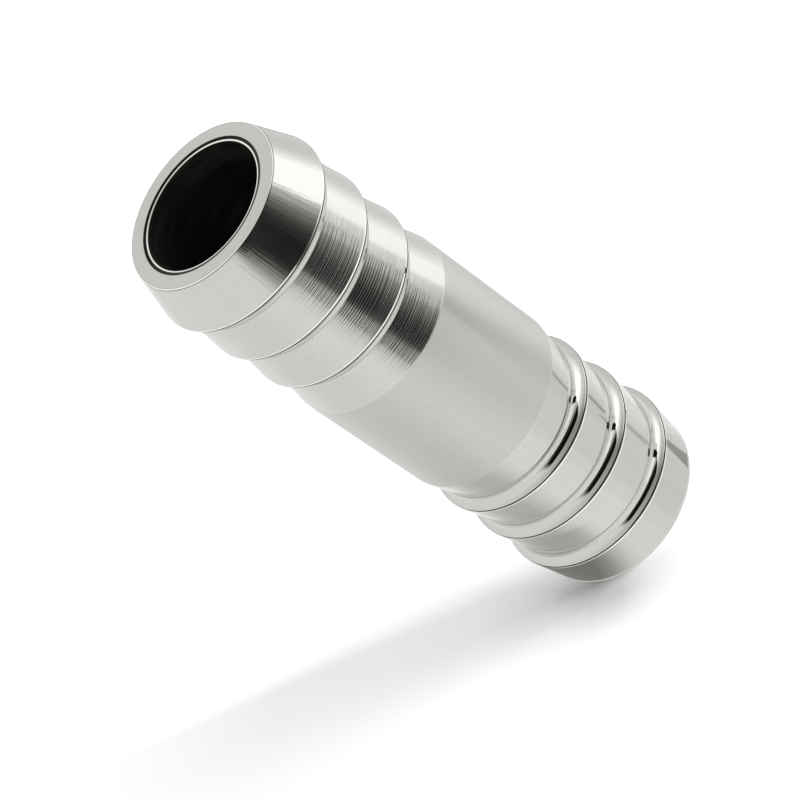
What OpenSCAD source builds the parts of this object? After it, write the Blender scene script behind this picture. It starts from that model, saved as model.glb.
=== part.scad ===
// Hose barb union: one turned metal tube with three hose barbs at each end and a plain body
// between them. The crests, grooves and tapers of the two ends are mirror images, and only the last
// nose tapers less at the lower end. It stands on one end face, with the bore along +Z.

/* [Bore] */
// Diameter of the straight bore
bore_d = 18; // [8:0.1:20]
// Width of the shallow bevel round each mouth of the bore
mouth_w = 0.55; // [0.1:0.05:0.7]
// Depth of the bevel round each mouth
mouth_depth = 0.15; // [0.05:0.05:0.6]

/* [Hose tail] */
// Diameter of the upper end, over its rounded rim
upper_end_d = 23.5; // [22.6:0.1:26]
// Diameter of the lower end, over its rounded rim
lower_end_d = 25.6; // [22.6:0.1:26]
// Diameter of the first crest, next to the end face
crest_1_d = 27.5; // [26.2:0.1:30]
// Diameter of the second crest
crest_2_d = 26.6; // [25.6:0.1:30]
// Diameter of the third crest
crest_3_d = 26.2; // [25.6:0.1:30]
// Length of the nose, from the end face to the first crest
nose_len = 7.1; // [4:0.1:16]
// Distance from the first crest to the second
pitch_1_2 = 8.4; // [5:0.1:16]
// Distance from the second crest to the third
pitch_2_3 = 8.1; // [5:0.1:16]
// Length of the run-out, from the third crest to the edge of the plain body
run_out_len = 7.4; // [4:0.1:16]

/* [Shoulders and edges] */
// Depth of each shoulder, from its crest in to the groove behind it
shoulder_h = 1.2; // [0.6:0.05:2]
// Radius of the hollow shoulder behind each crest
shoulder_r = 1.6; // [0.4:0.05:2.4]
// Radius of the rounded edge of each crest
crest_edge_r = 0.25; // [0.1:0.05:0.4]
// Radius of the rounded rim around each end face
rim_r = 0.2; // [0.1:0.05:0.6]

/* [Body] */
// Diameter of the plain body
body_d = 26; // [25:0.1:30]
// Length of the plain body between the two run-outs
body_len = 22; // [4:0.1:80]

/* [Hidden] */
// Height of each crest above its own end face
crest_1_z = nose_len;
crest_2_z = crest_1_z + pitch_1_2;
crest_3_z = crest_2_z + pitch_2_3;
// Length of one tail with its run-out, and of the whole union
tail_len = crest_3_z + run_out_len;
total_len = 2 * tail_len + body_len;
// How far rounds and tapers that touch run into each other, so that no sliver is left between them
touch = 0.0005;
// How far the centre of a shoulder's hollow lies outside and behind the centre of its crest edge
hollow_out = shoulder_r + crest_edge_r - shoulder_h;
hollow_up = sqrt(pow(shoulder_r + crest_edge_r - touch, 2) - pow(max(0, hollow_out), 2));
// How far a cutter reaches past the face that it cuts
cut_over = 1;
// Facets of the revolve and of the small arcs in its section
round_fn = 180;
arc_fn = 72;

// The section is drawn with the radius along X and the height along Y

// Unit vector square to the line that touches two circles on their outer side
function outward(p, p_r, q, q_r) =
    let (
        span = q - p,
        angle = atan2(span.y, span.x) - acos((p_r - q_r) / norm(span))
    )
    [cos(angle), sin(angle)];

// Centre of the rounded edge of a crest
function edge_centre(crest_r, crest_z) = [crest_r - crest_edge_r, crest_z];

// Centre of the hollow behind a crest: it touches the groove, and the rounded edge or the wall
function hollow_centre(crest_r, crest_z) = edge_centre(crest_r, crest_z) + [hollow_out, hollow_up];

// Foot of a shoulder, where the next taper starts
function foot(crest_r, crest_z) = hollow_centre(crest_r, crest_z) - [shoulder_r, 0];

// One barb: a taper from the rounded point at start out to its crest, and the hollow shoulder
module barb(start, start_r, crest_r, crest_z) {
    edge = edge_centre(crest_r, crest_z);
    hollow = hollow_centre(crest_r, crest_z);
    start_in = max(0, start_r - touch);
    edge_in = crest_edge_r - touch;
    side = outward(start, start_in, edge, edge_in);
    wall_z = crest_z + crest_edge_r;
    wall_points = hollow_out < 0 ? [[edge.x, wall_z], [hollow.x, wall_z]] : [];
    taper_points = [
        [0, start.y - start_r],
        [start.x, start.y - start_r],
        start + start_in * side,
        edge + edge_in * side,
        edge
    ];
    difference() {
        polygon(concat(taper_points, wall_points, [hollow, foot(crest_r, crest_z), [0, hollow.y]]));
        translate(hollow) circle(r = shoulder_r, $fn = arc_fn);
    }
    translate(edge) circle(r = crest_edge_r, $fn = arc_fn);
}

// Nose and three barbs of one tail, each barb smaller than the one before it
module tail(end_d) {
    rim = [end_d / 2 - rim_r, rim_r];
    translate(rim) circle(r = rim_r, $fn = arc_fn);
    barb(rim, rim_r, crest_1_d / 2, crest_1_z);
    barb(foot(crest_1_d / 2, crest_1_z), 0, crest_2_d / 2, crest_2_z);
    barb(foot(crest_2_d / 2, crest_2_z), 0, crest_3_d / 2, crest_3_z);
}

// Plain body with a tapered run-out down to the third groove at each end
module body() {
    low = foot(crest_3_d / 2, crest_3_z);
    polygon([
        [0, low.y],
        low,
        [body_d / 2, tail_len],
        [body_d / 2, tail_len + body_len],
        [low.x, total_len - low.y],
        [0, total_len - low.y]
    ]);
}

// Half section of the solid bar as it is turned, before it is bored
module turned_section() {
    tail(lower_end_d);
    body();
    translate([0, total_len]) mirror([0, 1]) tail(upper_end_d);
}

// Cone that cuts the bevel round the lower mouth of the bore
module mouth_cut() {
    cone_h = mouth_depth + cut_over;
    cone_d = bore_d + 2 * mouth_w * cone_h / mouth_depth;
    translate([0, 0, -cut_over]) cylinder(d1 = cone_d, d2 = bore_d, h = cone_h, $fn = round_fn);
}

// Straight bore right through, with a bevel round each mouth
module bore() {
    translate([0, 0, -cut_over]) cylinder(d = bore_d, h = total_len + 2 * cut_over, $fn = round_fn);
    mouth_cut();
    translate([0, 0, total_len]) mirror([0, 0, 1]) mouth_cut();
}

module barb_union() {
    color("silver") difference() {
        rotate_extrude($fn = round_fn) turned_section();
        bore();
    }
}

barb_union();
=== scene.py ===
# Hose barb union: the finish of the turned tube, and the stage that it stands on.
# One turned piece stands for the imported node. Lengths are in metres, with +Z along the bore.

import math

import bpy
from bpy.props import FloatProperty, FloatVectorProperty, IntProperty, PointerProperty
from bpy.types import Operator, Panel, PropertyGroup
from mathutils import Matrix, Vector
from mathutils.kdtree import KDTree


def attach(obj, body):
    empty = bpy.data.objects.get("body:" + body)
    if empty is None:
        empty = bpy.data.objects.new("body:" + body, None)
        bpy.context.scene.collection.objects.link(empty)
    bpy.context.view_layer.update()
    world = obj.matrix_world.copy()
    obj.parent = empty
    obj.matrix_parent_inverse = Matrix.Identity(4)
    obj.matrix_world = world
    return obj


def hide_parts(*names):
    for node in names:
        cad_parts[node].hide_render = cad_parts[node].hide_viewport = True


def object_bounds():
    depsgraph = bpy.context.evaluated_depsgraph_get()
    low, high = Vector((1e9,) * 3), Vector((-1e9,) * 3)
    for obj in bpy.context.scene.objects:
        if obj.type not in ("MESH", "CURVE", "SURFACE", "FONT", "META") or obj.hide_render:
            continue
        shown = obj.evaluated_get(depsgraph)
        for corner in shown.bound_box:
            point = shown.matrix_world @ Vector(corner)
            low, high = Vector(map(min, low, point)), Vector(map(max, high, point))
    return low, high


bl_info = {
    "name": "Hose Barb Union",
    "version": (1, 0, 0),
    "blender": (4, 5, 0),
    "location": "View3D > Sidebar > Union",
    "description": "Turns a barbed hose union and sets it on a pale studio floor",
    "category": "Object",
}

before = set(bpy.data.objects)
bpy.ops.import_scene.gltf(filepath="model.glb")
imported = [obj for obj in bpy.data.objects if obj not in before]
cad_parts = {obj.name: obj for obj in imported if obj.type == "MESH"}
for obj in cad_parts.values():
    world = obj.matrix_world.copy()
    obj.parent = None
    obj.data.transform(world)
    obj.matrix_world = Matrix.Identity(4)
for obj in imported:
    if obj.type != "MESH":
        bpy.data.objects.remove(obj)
cad_low, cad_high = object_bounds()
NODE = "barb_union"
BODY = "root"
MM = 0.001
MICRON = 0.000001


def length_prop(name, description, millimetres):
    """A size in metres, given in millimetres."""
    return FloatProperty(
        name=name, description=description, default=millimetres * MM,
        min=0, unit="LENGTH", subtype="DISTANCE", precision=5,
    )


def share_prop(name, description, default):
    """A value from 0 to 1."""
    return FloatProperty(
        name=name, description=description, default=default, min=0, max=1, subtype="FACTOR"
    )


def angle_prop(name, description, degrees):
    """An angle, given in degrees."""
    return FloatProperty(
        name=name, description=description, default=math.radians(degrees),
        subtype="ANGLE", unit="ROTATION",
    )


def tone_prop(name, description, default):
    """A share of the light of plain metal."""
    return FloatProperty(name=name, description=description, default=default, min=0, max=2)


def number_prop(name, description, default):
    """A plain number."""
    return FloatProperty(name=name, description=description, default=default)


def colour_prop(name, description, default):
    """A colour in linear light."""
    return FloatVectorProperty(
        name=name, description=description, default=default, size=3, min=0, max=1, subtype="COLOR"
    )


class UnionSizes(PropertyGroup):
    """The turned outline, the same sizes as the construction model."""

    length: FloatProperty(
        name="Length", description="Length over both end faces",
        default=cad_high.z - cad_low.z, unit="LENGTH", subtype="DISTANCE",
    )
    bore: length_prop("Bore", "Diameter of the straight bore", 18)
    mouth_w: length_prop("Mouth width", "Width of the shallow bevel round each mouth", 0.55)
    mouth_depth: length_prop("Mouth depth", "Depth of the bevel round each mouth", 0.15)
    upper_end: length_prop("Upper end", "Diameter of the upper end over its rounded rim", 23.5)
    lower_end: length_prop("Lower end", "Diameter of the lower end over its rounded rim", 25.6)
    crest_1: length_prop("First crest", "Diameter of the crest next to the end face", 27.5)
    crest_2: length_prop("Second crest", "Diameter of the middle crest", 26.6)
    crest_3: length_prop("Third crest", "Diameter of the crest next to the body", 26.2)
    nose: length_prop("Nose", "End face to first crest", 7.1)
    pitch_1_2: length_prop("First pitch", "First crest to second crest", 8.4)
    pitch_2_3: length_prop("Second pitch", "Second crest to third crest", 8.1)
    run_out: length_prop("Run-out", "Third crest to the edge of the plain body", 7.4)
    depth: length_prop("Shoulder depth", "Crest in to the groove behind it", 1.2)
    hollow: length_prop("Shoulder radius", "Radius of the hollow shoulder", 1.6)
    edge: length_prop("Crest edge", "Radius of the rounded edge of a crest", 0.25)
    rim: length_prop("Rim", "Radius of the rounded rim of an end face", 0.2)
    body: length_prop("Body", "Diameter of the plain body", 26)
    soft_edge: length_prop("Soft edge", "Radius where the run-out meets the body", 1.2)
    steps: IntProperty(
        name="Steps", description="Steps of the turning spin", default=256, min=48, max=512
    )


class UnionTones(PropertyGroup):
    """How light the thin lines are next to the plain metal, which is 1: painted highlights and painted
    shade along the turned edges, and the tone of the nose.
    """

    # Crest lines: a painted highlight on the land of each crest, and a painted dark line (painted shade)
    # over the end of the land and the rounded edge
    crest_painted_highlight: tone_prop("Crest light line", "Worn land on the taper side of a crest", 1.5)
    crest_painted_shade: tone_prop("Crest dark line", "Burnt line on the rounded edge of a crest", 0.05)
    crest_width: length_prop("Crest land", "Width of the worn land on the crest", 0.28)
    crest_shade_reach: length_prop("Crest burn", "How far the burnt line reaches over the land", 0.07)
    # Painted shade: a darker line in the crease at the foot of each shoulder
    foot: tone_prop("Foot line", "Line at the foot of a shoulder", 0.6)
    # Painted highlight, a painted dark line (painted shade) and faint painted shade round the rim of each
    # end face
    rim_highlight: tone_prop("Rim light line", "Worn line round the end face", 1.55)
    rim_shade_line: tone_prop("Rim dark line", "Thin dark line round the end face", 0.2)
    rim_shade: tone_prop("Rim shade", "Faint line on the end face beside the rim", 0.75)
    # Painted shade in a ring round each mouth, and a painted highlight on the inner part of its bevel
    mouth_shade: tone_prop("Mouth dark ring", "Ring round the mouth and on its bevel", 0.02)
    mouth_highlight: tone_prop("Mouth light ring", "Inner part of the mouth's bevel", 1.5)
    # Painted highlight on the line where the run-out meets the body
    body_edge_highlight: tone_prop("Body edge", "Line where the run-out meets the body", 1.12)
    nose: tone_prop("Nose", "The first taper, from the end face to the first crest", 0.96)


class UnionFinish(PropertyGroup):
    """Colours and gloss of the turned metal."""

    steel: colour_prop("Steel", "Bright turned steel", (0.63, 0.635, 0.607))
    satin: colour_prop("Satin steel", "The plain body", (0.595, 0.6, 0.573))
    # Dull bored wall, whose dark colour is also painted shade deep inside the bore
    bored: colour_prop("Bored wall", "Dull wall inside the bore", (0.2, 0.21, 0.18))
    turned_rough: share_prop("Turned roughness", "Roughness of the turned tapers", 0.13)
    nose_rough: share_prop("Nose roughness", "Roughness of the nose and of the smooth tapers", 0.08)
    body_rough: share_prop("Body roughness", "Roughness of the satin body", 0.34)
    polish_rough: share_prop("Polish roughness", "Roughness of the polished shoulders", 0.05)
    bored_rough: share_prop("Bore roughness", "Roughness of the bored wall", 0.4)
    line_pitch: length_prop("Line pitch", "Size that the fine turning lines go by", 0.24)
    line_depth: length_prop("Line depth", "Depth of the turning lines", 0.02)
    wave_depth: length_prop("Wave depth", "Depth of the strokes and waves on the polished nose", 0.03)


class UnionStudio(PropertyGroup):
    """Camera, floor and light."""

    photo_px: IntProperty(
        name="Picture", description="Width and height of the picture in pixels", default=800
    )
    focal_px: number_prop("Focal length", "Focal length in pixels", 3298)
    end_px_x: number_prop("Upper end across", "Pixels from the left to the upper end's centre", 201)
    end_px_y: number_prop("Upper end down", "Pixels from the top to the upper end's centre", 205)
    distance: length_prop("Distance", "Camera plane to the centre of the upper end face", 400.8)
    look_down: angle_prop("Look down", "How far the camera looks down on the end face", 39)
    lean: angle_prop("Lean", "How far the bore leans in the picture, from level", 34.6)
    floor_half: length_prop("Floor", "Half the width of the floor", 3000)
    floor_white: share_prop("Floor white", "How pale the floor is", 0.8)
    floor_lift: share_prop("Floor lift", "Light added to the floor that the camera sees", 0.5)
    # Painted shadow: the floor's glow is taken down in a strip along the front edge of the real shadow
    painted_shadow_depth: share_prop("Floor dip", "What the front edge of the shadow loses of it at most", 0.5)
    mirror_lift: share_prop("Mirror lift", "Light added to the floor where it is reflected", 0.45)
    # Painted fill: glow that whitens the floor and the shadow on it, up to a line just in front of the
    # bore
    painted_fill_lift: share_prop("Fill lift", "Light added to the floor behind the shadow", 0.6)
    painted_fill_edge: length_prop("Fill edge", "How far in front of the bore the fill ends", 7.5)
    painted_fill_soft: length_prop("Fill softness", "How softly the fill ends", 8)
    roof_left: share_prop("Roof left", "Light of the roof at the left, in reflections", 0.8)
    roof_right: share_prop("Roof right", "Light of the roof at the right, in reflections", 0.35)
    key_turn: angle_prop("Key turn", "Direction of the key light round the part", 48)
    key_height: angle_prop("Key height", "Height of the key light above the floor", 47)
    key_spread: angle_prop("Key spread", "Softness of the key light", 28)
    key_power: number_prop("Key power", "Strength of the key light", 1.9)
    ambient: number_prop("Ambient", "Light from all round on the floor", 0.25)
    roof_tint: colour_prop("Roof tint", "Colour of the roof in reflections", (1, 1, 0.95))


# The outline: runs of points as (radius, height, tone), each with the finish of its faces.
# The tone is how light the metal is there: 1 is plain metal, and the thin lines of painted highlight and
# painted shade along the edges differ from it.

# Steps of the small arcs, and of the soft edge of the body
ARC_STEP = math.radians(4.5)
SOFT_STEP = math.radians(3)
# Widths of the thin rings at the ends of a straight run, and of the change to the tone beside them
RING = 0.04 * MM
CHANGE = 0.02 * MM
FOOT_RING = 0.05 * MM
SHADE_RING = 0.06 * MM
FACE_RING = 0.1 * MM
MOUTH_RING = 0.34 * MM
# Shares of an arc at which its tone changes: where a crest's painted dark line ends, where the rim's
# painted highlight gives way to its painted dark line, where the painted shade at a foot starts, and
# where the painted highlight at the body's edge fades
CREST_SHADE_SHARES = (0.45, 0.57)
RIM_SHARES = (0.62, 0.72)
FOOT_SHARE = 0.93
EDGE_SHARE = 0.7


def tangent_side(p, p_r, q, q_r):
    """Angle of the normal of the line that touches two circles on their outer side."""
    span = Vector(q) - Vector(p)
    return math.atan2(span.y, span.x) - math.acos((p_r - q_r) / span.length)


def at_angle(centre, radius, angle):
    """A point on a circle."""
    return (centre[0] + radius * math.cos(angle), centre[1] + radius * math.sin(angle))


def arc(centre, radius, start, stop, tones, step=ARC_STEP):
    """Points along an arc, both ends included, with tones given at shares of its length."""
    count = max(2, math.ceil(abs(stop - start) / step))
    shares, levels = zip(*tones)
    points = []
    for i in range(count + 1):
        share = i / count
        place = at_angle(centre, radius, start + (stop - start) * share)
        points.append((*place, level_at(share, shares, levels)))
    return points


def level_at(share, shares, levels):
    """A level between listed levels."""
    for a, b, low, high in zip(shares, shares[1:], levels, levels[1:]):
        if share <= b:
            return low + (high - low) * (share - a) / (b - a)
    return levels[-1]


def straight(p, q, near=(RING, 1), far=(RING, 1), plain=1):
    """A straight run with a narrow ring at each end, given as (width, tone)."""
    p, q = Vector(p[:2]), Vector(q[:2])
    along = (q - p).normalized()
    length = (q - p).length
    marks = [
        (0, near[1]),
        (near[0], near[1]),
        (near[0] + CHANGE, plain),
        (length - far[0] - CHANGE, plain),
        (length - far[0], far[1]),
        (length, far[1]),
    ]
    return [(*(p + along * way), tone) for way, tone in marks]


def hollow_centre(s, crest_r, crest_z):
    """Centre of the hollow shoulder behind a crest."""
    reach = s.hollow + s.edge
    out = reach - s.depth
    return (crest_r - s.edge + out, crest_z + math.sqrt(reach * reach - out * out))


def barb_runs(s, t, start, start_r, crest_r, crest_z, taper):
    """Taper, land with a painted highlight, rounded crest edge with a painted dark line, and hollow
    shoulder of one barb.

    The first barb starts on the rounded rim, of radius start_r, and the others at a foot.
    """
    edge = (crest_r - s.edge, crest_z)
    hollow = hollow_centre(s, crest_r, crest_z)
    side = tangent_side(start, start_r, edge, s.edge)
    meet = math.atan2(hollow[1] - edge[1], hollow[0] - edge[0])
    shade_from, shade_to = CREST_SHADE_SHARES
    # Painted dark line (painted shade) on the first part of the crest's rounded edge, then plain metal
    crest = ((0, t.crest_painted_shade), (shade_from, t.crest_painted_shade), (shade_to, 1), (1, 1))
    # Plain metal over the shoulder, then painted shade in the crease at its foot
    shoulder = ((0, 1), (FOOT_SHARE, 1), (1, t.foot))
    # The next taper starts with a thin ring of the foot's painted shade, or of the nose's tone on the
    # first barb
    foot, plain = (FOOT_RING, t.foot), 1
    if start_r > 0:
        foot, plain = (RING, t.nose), t.nose
    first, last = (crest_r, crest_z - t.crest_width), (crest_r, crest_z)
    # Painted highlight along the land, and painted shade where the land meets the rounded edge
    highlight, shading = (CHANGE, t.crest_painted_highlight), (t.crest_shade_reach, t.crest_painted_shade)
    return [
        (taper, straight(at_angle(start, start_r, side), first, foot, plain=plain)),
        ("polish", straight(first, last, highlight, shading, plain=t.crest_painted_highlight)),
        ("polish", arc(edge, s.edge, 0, meet, crest)),
        ("polish", arc(hollow, s.hollow, meet + math.pi, math.pi, shoulder)),
    ]


def tail_runs(s, t, end, nose_finish, taper_finish):
    """Outline of one tail, from the mouth of the bore to the edge of the plain body."""
    mouth_r = s.bore / 2 + s.mouth_w
    rim = (end / 2 - s.rim, s.rim)
    heights = [s.nose, s.nose + s.pitch_1_2, s.nose + s.pitch_1_2 + s.pitch_2_3]
    radii = [s.crest_1 / 2, s.crest_2 / 2, s.crest_3 / 2]
    first_edge = (radii[0] - s.edge, heights[0])
    light_to, dark_from = RIM_SHARES
    # Painted highlight on the face side of the rim's arc, then a painted dark line (painted shade) where
    # it turns into the nose
    rim_tones = ((0, t.rim_highlight), (light_to, t.rim_highlight), (dark_from, t.rim_shade_line), (1, t.rim_shade_line))
    nose_side = tangent_side(rim, s.rim, first_edge, s.edge)
    # Thin rings of painted shade at both edges of the end face: round the mouth and beside the rim
    mouth_ring, rim_ring = (FACE_RING, t.mouth_shade), (SHADE_RING, t.rim_shade)
    runs = [
        ("face", straight((mouth_r, 0), (rim[0], 0), mouth_ring, rim_ring)),
        ("polish", arc(rim, s.rim, -math.pi / 2, nose_side, rim_tones)),
    ]
    start, start_r, taper = rim, s.rim, nose_finish
    for crest_r, crest_z in zip(radii, heights):
        runs += barb_runs(s, t, start, start_r, crest_r, crest_z, taper)
        start, start_r, taper = runs[-1][1][-1][:2], 0, taper_finish
    corner = Vector((s.body / 2, heights[2] + s.run_out))
    rise = (corner - Vector(start)).normalized()
    bend = math.acos(rise.y)
    back = s.soft_edge * math.tan(bend / 2)
    begin = corner - rise * back
    centre = (s.body / 2 - s.soft_edge, corner.y + back)
    # Painted shade at the foot of the last shoulder, and a painted highlight where the run-out meets the
    # body
    foot_ring, edge_ring = (FOOT_RING, t.foot), (SHADE_RING, t.body_edge_highlight)
    edge_tones = ((0, t.body_edge_highlight), (EDGE_SHARE, t.body_edge_highlight), (1, 1))
    runs.append((taper_finish, straight(start, begin, foot_ring, edge_ring)))
    runs.append(("body", arc(centre, s.soft_edge, -bend, 0, edge_tones, SOFT_STEP)))
    return runs


def outline_runs(s, t):
    """The closed outline: lower tail, body, upper tail, and down the bore."""
    lower = tail_runs(s, t, s.lower_end, "smooth", "smooth")
    upper = [
        (zone, [(r, s.length - z, tone) for r, z, tone in reversed(points)])
        for zone, points in reversed(tail_runs(s, t, s.upper_end, "nose", "turned"))
    ]
    bore_r, mouth_r = s.bore / 2, s.bore / 2 + s.mouth_w
    low, high = s.mouth_depth, s.length - s.mouth_depth
    # Painted shade over the outer part of each mouth's bevel, and a painted highlight over the rest of it
    dark_ring = (MOUTH_RING, t.mouth_shade)
    middle = [("body", straight(lower[-1][1][-1], upper[0][1][0]))]
    inside = [
        ("mouth", straight((mouth_r, s.length), (bore_r, high), dark_ring, plain=t.mouth_highlight)),
        ("bored", straight((bore_r, high), (bore_r, low))),
        ("mouth", straight((bore_r, low), (mouth_r, 0), far=dark_ring, plain=t.mouth_highlight)),
    ]
    return lower + middle + upper + inside


# Materials

# The range that most of a pattern's noise falls in
NOISE_LOW = 0.3
NOISE_HIGH = 0.7
# A quarter turn of the gloss, which spreads it across the turning lines
GLOSS_TURN = 0.25
# Shares of strokes and waves in the relief of the nose
STROKE_SHARE = 0.6
WAVE_SHARE = 0.4
# Sockets of a mix node: its share, and its numbers and colours
MIX_SHARE = 0
NUMBER_A = 2
NUMBER_B = 3
NUMBER_OUT = 0
COLOUR_A = 6
COLOUR_B = 7
COLOUR_OUT = 2


class Tree:
    """Short ways to add and link nodes of one material or world."""

    def __init__(self, owner):
        owner.use_nodes = True
        self.tree = owner.node_tree
        self.tree.nodes.clear()

    def add(self, kind, inputs=None, **settings):
        """Adds a node, sets what it is given, and links the inputs that are sockets."""
        made = self.tree.nodes.new(kind)
        for name, value in settings.items():
            setattr(made, name, value)
        for name, value in (inputs or {}).items():
            if isinstance(value, bpy.types.NodeSocket):
                self.tree.links.new(value, made.inputs[name])
            else:
                made.inputs[name].default_value = value
        return made

    def math(self, operation, a, b=0.0):
        """One sum."""
        return self.add("ShaderNodeMath", {0: a, 1: b}, operation=operation).outputs[0]

    def remap(self, value, low, high, to_low, to_high):
        """Moves a value from one range to another, held at the ends."""
        ends = {
            "Value": value,
            "From Min": low,
            "From Max": high,
            "To Min": to_low,
            "To Max": to_high,
        }
        return self.add("ShaderNodeMapRange", ends).outputs["Result"]

    def place(self):
        """The place on the object."""
        return self.add("ShaderNodeTexCoord").outputs["Object"]

    def vector(self, operation, a, b=(0, 0, 0)):
        """One sum of vectors: its outputs."""
        return self.add("ShaderNodeVectorMath", {0: a, 1: b}, operation=operation).outputs

    def parts(self, vector):
        """The three parts of a vector."""
        return self.add("ShaderNodeSeparateXYZ", {0: vector}).outputs

    def level(self, place):
        """A place with its height taken out."""
        return self.vector("MULTIPLY", place, (1, 1, 0))[0]

    def out(self, place):
        """Distance from the axis."""
        return self.vector("LENGTH", self.level(place))["Value"]

    def noise(self, vector, detail):
        """Noise from 0 to 1, with one patch to each unit of its vector."""
        inputs = {"Vector": vector, "Scale": 1.0, "Detail": detail, "Roughness": 0.5}
        return self.add("ShaderNodeTexNoise", inputs).outputs["Fac"]

    def around(self, turns, pitch):
        """A place on the turned surface, in patches: a number of them to a radian of turn, and a
        length for each along the outline.
        """
        place = self.place()
        ring = self.parts(self.vector("NORMALIZE", self.level(place))[0])
        reach = self.math("ADD", self.parts(place)["Z"], self.out(place))
        along = self.math("MULTIPLY", reach, 1 / pitch)
        x = self.math("MULTIPLY", ring["X"], turns)
        y = self.math("MULTIPLY", ring["Y"], turns)
        return self.add("ShaderNodeCombineXYZ", {"X": x, "Y": y, "Z": along}).outputs[0]

    def mixed(self, share, low, high):
        """A colour between two colours."""
        inputs = {MIX_SHARE: share, COLOUR_A: low, COLOUR_B: high}
        return self.add("ShaderNodeMix", inputs, data_type="RGBA").outputs[COLOUR_OUT]

    def tinted(self, colour, change, amount):
        """A colour made a little lighter and darker by a pattern."""
        light = [min(1, c * (1 + amount)) for c in colour] + [1]
        dark = [c * (1 - amount) for c in colour] + [1]
        return self.mixed(change, dark, light)

    def uneven(self, change, roughness, low, high):
        """A roughness that a pattern moves between two shares of it."""
        return self.remap(change, NOISE_LOW, NOISE_HIGH, roughness * low, roughness * high)

    def bump(self, height, distance):
        """Relief of a given depth."""
        inputs = {"Height": height, "Distance": distance, "Strength": 1.0}
        return self.add("ShaderNodeBump", inputs).outputs[0]

    def metal(self, colour, roughness, normal=None, anisotropy=0.0):
        """Bare metal in the tone of the turned lines, which scales its colour with their painted
        highlights and painted shade, brushed round the axis where it has anisotropy.
        """
        tone = self.add("ShaderNodeAttribute", attribute_name="tone").outputs["Fac"]
        toned = {0: colour, "Scale": tone}
        base = self.add("ShaderNodeVectorMath", toned, operation="SCALE").outputs[0]
        shader = self.add("ShaderNodeBsdfPrincipled", {
            "Base Color": base,
            "Roughness": roughness,
            "Metallic": 1.0,
            "Anisotropic": anisotropy,
        })
        if normal:
            self.tree.links.new(normal, shader.inputs["Normal"])
        if anisotropy:
            round_axis = self.add("ShaderNodeTangent", direction_type="RADIAL", axis="Z")
            self.tree.links.new(round_axis.outputs[0], shader.inputs["Tangent"])
            shader.inputs["Anisotropic Rotation"].default_value = GLOSS_TURN
        self.add("ShaderNodeOutputMaterial", {"Surface": shader.outputs[0]})


def turned_metal(f):
    """Tapers of the upper tail, with fine turning lines."""
    made = bpy.data.materials.new("Turned taper")
    tree = Tree(made)
    lines = tree.noise(tree.around(turns=1, pitch=0.65 * f.line_pitch), detail=0)
    patches = tree.noise(tree.around(turns=2, pitch=12 * f.line_pitch), detail=1)
    rough = tree.uneven(patches, f.turned_rough, low=0.9, high=1.1)
    relief = tree.bump(lines, f.line_depth)
    tint = tree.tinted(f.steel, patches, amount=0.02)
    tree.metal(tint, rough, relief, anisotropy=0.6)
    return made


def nose_metal(f):
    """The nose of the upper tail, polished along its length, with strokes and soft waves."""
    made = bpy.data.materials.new("Polished nose")
    tree = Tree(made)
    strokes = tree.noise(tree.around(turns=34, pitch=7 * MM), detail=2)
    waves = tree.noise(tree.around(turns=8, pitch=1.6 * MM), detail=3)
    stroke_part = tree.math("MULTIPLY", strokes, STROKE_SHARE)
    wave_part = tree.math("MULTIPLY", waves, WAVE_SHARE)
    rough = tree.uneven(strokes, f.nose_rough, low=0.7, high=1.4)
    relief = tree.bump(tree.math("ADD", stroke_part, wave_part), f.wave_depth)
    tint = tree.tinted(f.steel, waves, amount=0.02)
    tree.metal(tint, rough, relief, anisotropy=0.2)
    return made


def smooth_metal(f):
    """The nose and tapers of the lower tail, with soft streaks along them."""
    made = bpy.data.materials.new("Smooth taper")
    tree = Tree(made)
    streaks = tree.noise(tree.around(turns=14, pitch=30 * MM), detail=2)
    rough = tree.uneven(streaks, f.nose_rough, low=0.8, high=1.2)
    tree.metal(tree.tinted(f.steel, streaks, amount=0.05), rough)
    return made


def body_metal(f):
    """The satin body, with faint streaks along it and a fine grain."""
    made = bpy.data.materials.new("Satin body")
    tree = Tree(made)
    streaks = tree.noise(tree.around(turns=45, pitch=22 * MM), detail=4)
    grain = tree.noise(tree.around(turns=110, pitch=0.5 * MM), detail=2)
    rough = tree.uneven(grain, f.body_rough, low=0.9, high=1.1)
    relief = tree.bump(grain, distance=0.1 * f.line_depth)
    tint = tree.tinted(f.satin, streaks, amount=0.07)
    tree.metal(tint, rough, relief, anisotropy=0.2)
    return made


def face_metal(f):
    """End faces, faced off with very fine rings."""
    made = bpy.data.materials.new("Faced end")
    tree = Tree(made)
    rings = tree.noise(tree.around(turns=3, pitch=0.25 * MM), detail=2)
    rough = tree.uneven(rings, f.body_rough, low=0.85, high=1.15)
    relief = tree.bump(rings, distance=0.02 * f.line_depth)
    tint = tree.tinted(f.steel, rings, amount=0.02)
    tree.metal(tint, rough, relief, anisotropy=0.3)
    return made


def polished_metal(f):
    """Hollow shoulders, crests, rims and the bevels of the mouths."""
    made = bpy.data.materials.new("Polished shoulder")
    tree = Tree(made)
    haze = tree.noise(tree.around(turns=6, pitch=0.5 * MM), detail=2)
    rough = tree.uneven(haze, f.polish_rough, low=0.7, high=1.4)
    tree.metal(tree.tinted(f.steel, haze, amount=0.02), rough)
    return made


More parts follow.
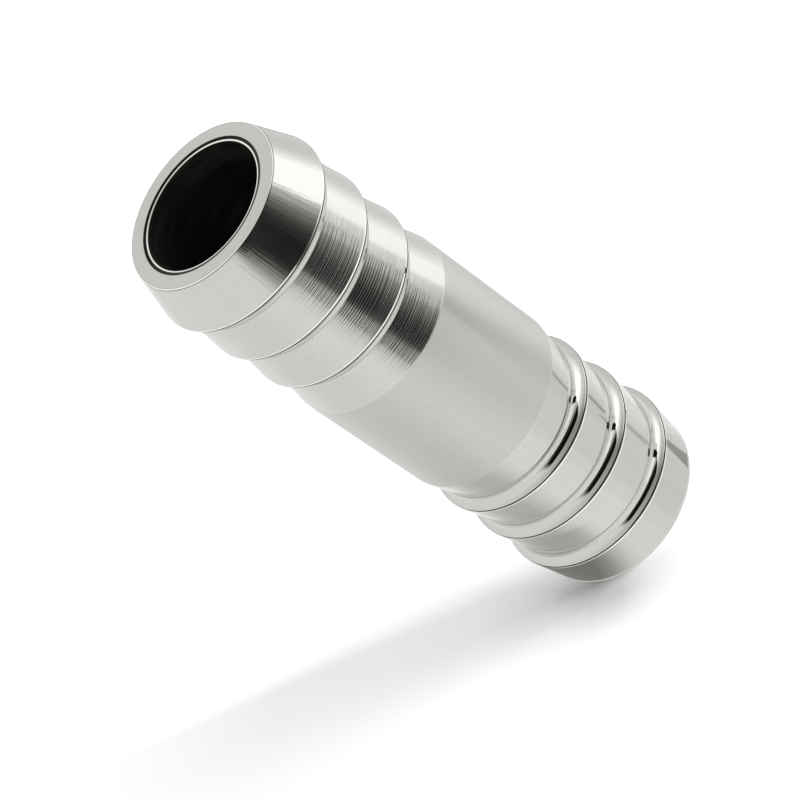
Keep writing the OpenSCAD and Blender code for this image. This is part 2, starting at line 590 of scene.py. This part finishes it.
def bored_metal(f):
    """Wall of the bore, with the drill's faint marks: dull, and dark as painted shade deep inside the
    bore.
    """
    made = bpy.data.materials.new("Bored wall")
    tree = Tree(made)
    marks = tree.noise(tree.around(turns=1.2, pitch=0.7 * MM), detail=3)
    rough = tree.uneven(marks, f.bored_rough, low=0.8, high=1.2)
    relief = tree.bump(marks, distance=0.1 * f.line_depth)
    tree.metal(tree.tinted(f.bored, marks, amount=0.2), rough, relief)
    return made


FINISHES = {
    "turned": turned_metal,
    "nose": nose_metal,
    "smooth": smooth_metal,
    "body": body_metal,
    "face": face_metal,
    "polish": polished_metal,
    "mouth": polished_metal,
    "bored": bored_metal,
}


# The piece

# Faces that meet at a smaller angle than this are shaded as one
SMOOTH_ANGLE = math.radians(5)


def draw_line(points):
    """Draws a line, one vertex extruded from the last, and leaves it selected in edit mode."""
    bpy.ops.object.select_all(action="DESELECT")
    bpy.ops.mesh.primitive_plane_add(size=MM)
    bpy.ops.object.mode_set(mode="EDIT")
    bpy.ops.mesh.select_all(action="SELECT")
    bpy.ops.mesh.merge(type="CENTER")
    bpy.ops.transform.translate(value=points[0])
    for here, there in zip(points, points[1:]):
        bpy.ops.mesh.extrude_vertices_move(TRANSFORM_OT_translate={"value": there - here})
    bpy.ops.mesh.select_all(action="SELECT")


def turn_outline(steps):
    """Spins the drawn outline round the bore and joins the seam."""
    bpy.ops.mesh.spin(steps=steps, angle=math.tau, center=(0, 0, 0), axis=(0, 0, 1))
    bpy.ops.mesh.select_all(action="SELECT")
    bpy.ops.mesh.remove_doubles(threshold=MICRON)
    bpy.ops.mesh.normals_make_consistent(inside=False)
    bpy.ops.object.mode_set(mode="OBJECT")


def finish_faces(piece, runs, finish):
    """Gives each ring of faces the finish of its run of the outline."""
    made = {}
    for zone, _ in runs:
        maker = FINISHES[zone]
        if maker not in made:
            made[maker] = len(piece.data.materials)
            piece.data.materials.append(maker(finish))
    spans = [(zone, a, b) for zone, points in runs for a, b in zip(points, points[1:])]
    tree = KDTree(len(spans))
    for i, (_, a, b) in enumerate(spans):
        tree.insert(((a[0] + b[0]) / 2, 0, (a[1] + b[1]) / 2), i)
    tree.balance()
    for face in piece.data.polygons:
        radius = math.hypot(face.center.x, face.center.y)
        _, nearest, _ = tree.find((radius, 0, face.center.z))
        face.material_index = made[FINISHES[spans[nearest][0]]]


def tone_vertices(piece, runs):
    """Gives each vertex the tone of its place on the outline, with the painted highlights and painted
    shade that the tones carry.
    """
    points = [point for _, run in runs for point in run[:-1]]
    tree = KDTree(len(points))
    for i, (radius, height, _) in enumerate(points):
        tree.insert((radius, 0, height), i)
    tree.balance()
    tones = piece.data.attributes.new("tone", "FLOAT", "POINT")
    for vertex in piece.data.vertices:
        radius = math.hypot(vertex.co.x, vertex.co.y)
        _, nearest, _ = tree.find((radius, 0, vertex.co.z))
        tones.data[vertex.index].value = points[nearest][2]


class UNION_OT_turned_tube(Operator):
    """Turn the barbed tube and give each part of it its finish"""

    bl_idname = "union.turned_tube"
    bl_label = "Turned Tube"

    def execute(self, context):
        s, f = context.scene.union_sizes, context.scene.union_finish
        runs = outline_runs(s, context.scene.union_tones)
        points = [point for _, run in runs for point in run[:-1]] + [runs[-1][1][-1]]
        draw_line([Vector((radius, 0, height)) for radius, height, _ in points])
        turn_outline(s.steps)
        piece = context.object
        piece.name = piece.data.name = "turned_tube"
        finish_faces(piece, runs, f)
        tone_vertices(piece, runs)
        bpy.ops.object.shade_smooth_by_angle(angle=SMOOTH_ANGLE)
        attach(piece, BODY)
        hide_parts(NODE)
        return {"FINISHED"}


# The stage

# Painted shadow that deepens the front edge of the real shadow: how much, across the shadow and along it,
# in millimetres
PAINTED_SHADOW_ACROSS = [(7, 0), (12.5, 1), (15.5, 1), (22, 0)]
PAINTED_SHADOW_ALONG = [
    (-12, 0), (-5, 0.5), (0, 1), (4, 1), (12, 0.58), (25, 0.25), (38, 0.14), (52, 0.06), (95, 0),
]
# Nearly white, for the floor and the walls
PAPER_WHITE = (1, 1, 0.993, 1)
# Colours of the darkest and the lightest cards
CARD_DARK = (0.97, 1, 0.93, 1)
CARD_WHITE = (1, 1, 1, 1)
# Heights of the ground cards and of the strips above the floor, in millimetres
GROUND = 0.4
STRIP_UP = 0.8
# Degrees to each step of a card, and the fewest steps that it has
CARD_STEP = 3
LEAST_STEPS = 3
# The roof of the room starts at the first of these heights and is whole at the second
ROOF_FROM = math.sin(math.radians(48))
ROOF_WHOLE = math.sin(math.radians(68))
# Half the width over which the roof's light changes from left to right
ROOF_SIDE = 0.3
# The nearest and the farthest that the camera sees
CLIP_NEAR = 10 * MM
CLIP_FAR = 20


def floor_material(studio):
    """Pale paper: white where it is lit, and it keeps the shadow of the part, with a painted fill that
    whitens the shadow up to a line just in front of the bore and a painted shadow that deepens its front
    edge.
    """
    made = bpy.data.materials.new("Pale floor")
    tree = Tree(made)
    white = (studio.floor_white,) * 3 + (1,)
    paper = tree.add("ShaderNodeBsdfDiffuse", {"Color": white}).outputs[0]
    place = tree.place()
    across = toward(studio.key_turn - math.pi / 2)
    side = tree.vector("DOT_PRODUCT", place, across)["Value"]
    away = tree.vector("DOT_PRODUCT", place, -toward(studio.key_turn))["Value"]
    painted_fill_from = studio.painted_fill_edge - studio.painted_fill_soft
    # Painted fill: glow that whitens the shadow up to a line just in front of the bore
    behind = tree.remap(side, painted_fill_from, studio.painted_fill_edge, studio.painted_fill_lift, 0)
    # Painted shadow: less glow in a strip along the shadow's front edge
    edge = ramp_of(tree, tree.math("DIVIDE", side, MM), PAINTED_SHADOW_ACROSS)
    reach = ramp_of(tree, tree.math("DIVIDE", away, MM), PAINTED_SHADOW_ALONG)
    dip = tree.math("MULTIPLY", tree.math("MULTIPLY", edge, reach), studio.painted_shadow_depth)
    seen = tree.math("SUBTRACT", tree.math("ADD", behind, studio.floor_lift), dip)
    path = tree.add("ShaderNodeLightPath").outputs
    camera = tree.math("MAXIMUM", path["Is Camera Ray"], path["Is Transmission Ray"])
    lift = tree.math("MULTIPLY", camera, seen)
    mirror = tree.math("MULTIPLY", path["Is Glossy Ray"], studio.mirror_lift)
    both = tree.math("ADD", lift, mirror)
    glow = tree.add("ShaderNodeEmission", {"Color": PAPER_WHITE, "Strength": both}).outputs[0]
    sum_up = tree.add("ShaderNodeAddShader", {0: paper, 1: glow}).outputs[0]
    tree.add("ShaderNodeOutputMaterial", {"Surface": sum_up})
    return made


def toward(turn):
    """Level direction: 0 is towards the camera, and a positive turn goes to its right."""
    return Vector((math.sin(turn), -math.cos(turn), 0))


def turn_of(tree, place):
    """Turn in degrees of a place or direction, from -180 to 180."""
    parts = tree.parts(place)
    ahead = tree.math("MULTIPLY", parts["Y"], -1.0)
    return tree.math("DEGREES", tree.math("ARCTAN2", parts["X"], ahead))


def ramp_of(tree, value, stops):
    """A level that follows a value through listed stops."""
    low, high = stops[0][0], stops[-1][0]
    share = tree.remap(value, low, high, 0, 1)
    node = tree.add("ShaderNodeValToRGB", {"Fac": share})
    marks = node.color_ramp.elements
    while len(marks) < len(stops):
        marks.new(1)
    for mark, (at, level) in zip(marks, stops):
        mark.position = (at - low) / (high - low)
        mark.color = (level, level, level, 1)
    return node.outputs["Color"]


def card_material(name, levels, fade):
    """A card that gives light: its level at each turn, and the fade that says how much of it holds."""
    made = bpy.data.materials.new(name)
    tree = Tree(made)
    place = tree.place()
    light = ramp_of(tree, turn_of(tree, place), levels)
    way, shares = fade
    reach = tree.out(place) if way == "out" else tree.parts(place)["Z"]
    hold = ramp_of(tree, tree.math("DIVIDE", reach, MM), shares)
    drop = tree.math("SUBTRACT", 1.0, light)
    strength = tree.math("SUBTRACT", 1.0, tree.math("MULTIPLY", drop, hold))
    tint = tree.mixed(strength, CARD_DARK, CARD_WHITE)
    glow = tree.add("ShaderNodeEmission", {"Color": tint, "Strength": strength}).outputs[0]
    tree.add("ShaderNodeOutputMaterial", {"Surface": glow})
    return made


def only_reflected(card):
    """Leaves a card to the reflections: no camera, no floor light and no shadow."""
    card.visible_camera = False
    card.visible_diffuse = False
    card.visible_shadow = False
    card.visible_transmission = False


def add_card(name, first, last, levels, fade):
    """A card round the part, swept from one turn to the next: first and last are (out, up) in mm."""
    start, stop = levels[0][0], levels[-1][0]
    side = toward(math.radians(start))
    draw_line([(side * out + Vector((0, 0, up))) * MM for out, up in (first, last)])
    steps = max(LEAST_STEPS, round((stop - start) / CARD_STEP))
    sweep = math.radians(start - stop)
    bpy.ops.mesh.spin(steps=steps, angle=sweep, center=(0, 0, 0), axis=(0, 0, 1))
    bpy.ops.object.mode_set(mode="OBJECT")
    card = bpy.context.object
    card.name = name
    card.data.materials.append(card_material(name, levels, fade))
    only_reflected(card)


def add_strip(name, corners, level):
    """A flat strip on the floor, above the other cards."""
    bpy.ops.object.select_all(action="DESELECT")
    bpy.ops.mesh.primitive_plane_add(size=1)
    strip = bpy.context.object
    strip.name = name
    for vertex, (right, near) in zip(strip.data.vertices, corners):
        vertex.co = Vector((right, -near, STRIP_UP)) * MM
    strip.data.materials.append(card_material(name, [(-180, level), (180, level)], EVEN))
    only_reflected(strip)


# The room round the stage, in reflections: the light of its walls at each turn in degrees
ROOM = [
    (-180, 0.9), (-150, 0.92), (-100, 0.95), (112, 0.95), (122, 0.85), (150, 0.8), (165, 0.85),
    (180, 0.9),
]
# A fade says how much of a card's light holds at heights up or distances out, in millimetres
EVEN = ("up", [(0, 1), (1000, 1)])
# The cards stand round the part, and only reflections see them. Each has the (out, up) of its first
# and last edge in millimetres, its light at each turn in degrees, and its fade.
CARDS = {
    "dark_wall": (
        (125, 46), (125, 78),
        [(-34, 1), (-30, 0.97), (-26, 0.85), (-22, 0.68), (-16, 0.4), (-10, 0.2), (-5, 0.07), (0, 0.03),
         (20, 0.02), (32, 0.05), (38, 0.1), (48, 0.26), (57, 0.58), (61, 0.75), (63, 0.82), (64, 1.5)],
        EVEN,
    ),
    "high_dark_wall": (
        (125, 78), (125, 230),
        [(-24, 0.9), (-18, 0.3), (-13, 0.002), (60, 0.002), (63, 0.6)],
        ("up", [(78, 0.965), (95, 0.99), (110, 1), (165, 1), (230, 0.6)]),
    ),
    "bright_wall": (
        (150, 20), (150, 135),
        [(62, 1.15), (67, 1.6), (98, 1.6), (107, 1.2), (116, 0.96)],
        ("up", [(20, 1), (105, 1), (135, 0)]),
    ),
    "skirt": (
        (50, 22), (75, 0.5),
        [(-24, 1), (26, 1), (34, 1.25), (54.5, 1.25), (55.5, 0.003), (63, 0.003), (64, 0.9), (70, 0.9)],
        EVEN,
    ),
    "pillar": ((50, 22), (50, 30), [(55.5, 0.003), (63, 0.003)], EVEN),
    "mid_ground": (
        (112, GROUND), (188, GROUND),
        [(-30, 1), (-20, 0.97), (-9, 0.82), (1, 0.66), (3, 0.5), (6, 0.16), (12, 0.08), (22, 0.08),
         (30, 0.14), (40, 0.27), (49, 0.44), (53, 0.72), (62, 0.8), (70, 0.9), (77, 1), (79, 1.4),
         (99, 1.45), (110, 1.15), (118, 0.95)],
        ("out", [(112, 0.97), (165, 0.97), (188, 1)]),
    ),
    "outer_ground": (
        (188, GROUND), (600, GROUND),
        [(-36, 1), (-28, 0.92), (-20, 0.75), (-14, 0.4), (-10, 0.12), (0, 0.03), (8, 0), (30, 0),
         (42, 0.06), (52, 0.12), (62, 0.35), (72, 0.7), (80, 1.2), (86, 1.5), (100, 1.4), (112, 1.1),
         (118, 0.95)],
        EVEN,
    ),
    "strip_ground": (
        (68, GROUND), (90, GROUND),
        [(-11, 1.02), (4, 0.97), (18, 0.9), (50, 0.95), (66, 1.05), (67, 0.003), (73, 0.003), (74, 0.9),
         (92, 0.98), (100, 1)],
        EVEN,
    ),
    "outer_front_ground": (
        (90, GROUND), (112, GROUND),
        [(-11, 1.1), (50, 1.1), (66, 1), (78, 1.2), (100, 1.25), (108, 1)],
        EVEN,
    ),
    "front_ground": (
        (22.4, GROUND), (68, GROUND),
        [(-11, 1.02), (4, 0.97), (18, 0.88), (50, 0.89), (66, 0.82), (80, 0.82), (92, 0.93), (100, 0.97)],
        EVEN,
    ),
    "inner_ground": (
        (12.9, GROUND), (22.4, GROUND),
        [(-11, 1.02), (4, 0.98), (18, 0.89), (56, 0.86), (68, 0.88), (80, 0.98), (92, 0.97), (100, 0.95)],
        EVEN,
    ),
    # foot_ground, step_ground and left_ground are dark to the left of and behind the foot: in reflections
    # they stand for the floor's shadow there, as painted shadow
    "foot_ground": (
        (12.9, GROUND), (17.6, GROUND),
        [(-130, 0.5), (-112, 0.32), (-90, 0.26), (-54, 0.26), (-44, 0.4), (-36, 0.66), (-28, 0.9),
         (-20, 1.02), (-11, 1.02)],
        EVEN,
    ),
    "step_ground": (
        (17.6, GROUND), (21.3, GROUND),
        [(-130, 0.93), (-116, 0.75), (-100, 0.59), (-84, 0.53), (-66, 0.53), (-54, 0.57), (-48, 0.64),
         (-42, 0.78), (-36, 0.93), (-30, 1.02), (-11, 1.02)],
        EVEN,
    ),
    "left_ground": (
        (21.3, GROUND), (220, GROUND),
        [(-130, 0.85), (-116, 0.45), (-100, 0.12), (-84, 0), (-66, 0.05), (-52, 0.5), (-42, 0.85),
         (-34, 1.02), (-11, 1.02)],
        ("out", [(21.3, 0.45), (24, 0.39), (30, 0.36), (55, 0.16), (100, 0.1), (220, 0.08)]),
    ),
    "rear_ground": (
        (18, GROUND), (340, GROUND),
        [(118, 0.95), (130, 0.84), (150, 0.82), (166, 0.5), (194, 0.5), (210, 0.86), (230, 0.93)],
        EVEN,
    ),
}
# Thin dark strips on the floor: their corners as (right, towards the camera) in millimetres, and
# their light
STRIPS = {
    "thin_line": ([(8.5, 8.0), (14.6, 7.15), (8.5, 9.5), (14.6, 8.85)], 0.45),
    "soft_line": ([(15, 8.4), (21, 8.6), (15, 10), (21, 10.4)], 0.62),
    "wide_line": ([(21, 5.6), (30.5, 4.4), (21, 7.4), (30.5, 6.5)], 0.5),
}


def add_floor(studio):
    """The floor that the tube stands on."""
    bpy.ops.object.select_all(action="DESELECT")
    bpy.ops.mesh.primitive_plane_add(size=2 * studio.floor_half)
    floor = bpy.context.object
    floor.name = "floor"
    floor.data.materials.append(floor_material(studio))


def add_key(studio):
    """Soft key light that throws the shadow."""
    lamp = bpy.data.lights.new("key", "SUN")
    lamp.energy = studio.key_power
    lamp.angle = studio.key_spread
    key = bpy.data.objects.new("key", lamp)
    bpy.context.scene.collection.objects.link(key)
    level, height = toward(studio.key_turn), studio.key_height
    back = level * math.cos(height) + Vector((0, 0, math.sin(height)))
    key.rotation_euler = back.to_track_quat("Z", "Y").to_euler()
    key.visible_glossy = False


def add_world(studio):
    """White where the camera sees it, a room for the reflections, and even light for the floor."""
    world = bpy.data.worlds.new("Studio")
    bpy.context.scene.world = world
    tree = Tree(world)
    way = tree.add("ShaderNodeTexCoord").outputs["Generated"]
    parts = tree.parts(way)
    walls = ramp_of(tree, turn_of(tree, way), ROOM)
    roof = tree.remap(parts["X"], -ROOF_SIDE, ROOF_SIDE, studio.roof_left, studio.roof_right)
    share = tree.remap(parts["Z"], ROOF_FROM, ROOF_WHOLE, 0, 1)
    sides = {MIX_SHARE: share, NUMBER_A: walls, NUMBER_B: roof}
    room = tree.add("ShaderNodeMix", sides, data_type="FLOAT").outputs[NUMBER_OUT]
    path = tree.add("ShaderNodeLightPath").outputs
    other = tree.math("SUBTRACT", 1.0, path["Is Glossy Ray"])
    diffuse = tree.math("MULTIPLY", other, studio.ambient)
    glossy = tree.math("MULTIPLY", path["Is Glossy Ray"], room)
    unseen = tree.math("ADD", diffuse, glossy)
    strength = tree.math("MAXIMUM", unseen, path["Is Camera Ray"])
    overhead = tree.math("MULTIPLY", share, path["Is Glossy Ray"])
    tint = tree.mixed(overhead, PAPER_WHITE, (*studio.roof_tint, 1))
    back = tree.add("ShaderNodeBackground", {"Color": tint, "Strength": strength}).outputs[0]
    tree.add("ShaderNodeOutputWorld", {"Surface": back})


def add_camera(studio, top):
    """The camera, placed so that the upper end face lies where the picture has it."""
    data = bpy.data.cameras.new("camera")
    data.lens = data.sensor_width * studio.focal_px / studio.photo_px
    data.clip_start = CLIP_NEAR
    data.clip_end = CLIP_FAR
    camera = bpy.data.objects.new("camera", data)
    bpy.context.scene.collection.objects.link(camera)
    bpy.context.scene.camera = camera
    down = studio.look_down
    forward = Vector((0, math.cos(down), -math.sin(down)))
    level, rise = Vector((1, 0, 0)), Vector((0, math.sin(down), math.cos(down)))
    roll = math.pi / 2 - studio.lean
    right = level * math.cos(roll) - rise * math.sin(roll)
    above = level * math.sin(roll) + rise * math.cos(roll)
    middle = studio.photo_px / 2
    across = (studio.end_px_x - middle) / studio.focal_px * studio.distance
    over = (middle - studio.end_px_y) / studio.focal_px * studio.distance
    place = top - forward * studio.distance - right * across - above * over
    turn = Matrix((right, above, -forward)).transposed()
    camera.matrix_world = Matrix.Translation(place) @ turn.to_4x4()


class UNION_OT_stage(Operator):
    """Add the pale floor, the cards, the light and the camera"""

    bl_idname = "union.stage"
    bl_label = "Stage"

    def execute(self, context):
        studio = context.scene.union_studio
        top = Vector((0, 0, context.scene.union_sizes.length))
        add_floor(studio)
        for name, (first, last, levels, fade) in CARDS.items():
            add_card(name, first, last, levels, fade)
        for name, (corners, level) in STRIPS.items():
            add_strip(name, corners, level)
        add_key(studio)
        add_world(studio)
        add_camera(studio, top)
        context.scene.view_settings.view_transform = "Standard"
        return {"FINISHED"}


class UNION_PT_tools(Panel):
    """Lists the steps and their settings"""

    bl_idname = "UNION_PT_tools"
    bl_label = "Hose Barb Union"
    bl_space_type = "VIEW_3D"
    bl_region_type = "UI"
    bl_category = "Union"

    def draw(self, context):
        layout, scene = self.layout, context.scene
        for title, group in (
            ("Sizes", scene.union_sizes),
            ("Tones", scene.union_tones),
            ("Finish", scene.union_finish),
            ("Studio", scene.union_studio),
        ):
            box = layout.box()
            box.label(text=title)
            for name in group.__annotations__:
                box.prop(group, name)
        layout.operator(UNION_OT_turned_tube.bl_idname)
        layout.operator(UNION_OT_stage.bl_idname)


CLASSES = (
    UnionSizes,
    UnionTones,
    UnionFinish,
    UnionStudio,
    UNION_OT_turned_tube,
    UNION_OT_stage,
    UNION_PT_tools,
)
GROUPS = {
    "union_sizes": UnionSizes,
    "union_tones": UnionTones,
    "union_finish": UnionFinish,
    "union_studio": UnionStudio,
}


def register():
    """Adds the classes and the groups of settings."""
    for cls in CLASSES:
        bpy.utils.register_class(cls)
    for name, group in GROUPS.items():
        setattr(bpy.types.Scene, name, PointerProperty(type=group))


def unregister():
    """Takes them out again."""
    for name in GROUPS:
        delattr(bpy.types.Scene, name)
    for cls in reversed(CLASSES):
        bpy.utils.unregister_class(cls)


def main():
    """Registers the classes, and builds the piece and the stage."""
    register()
    bpy.ops.union.turned_tube()
    bpy.ops.union.stage()


if __name__ == "__main__":
    main()
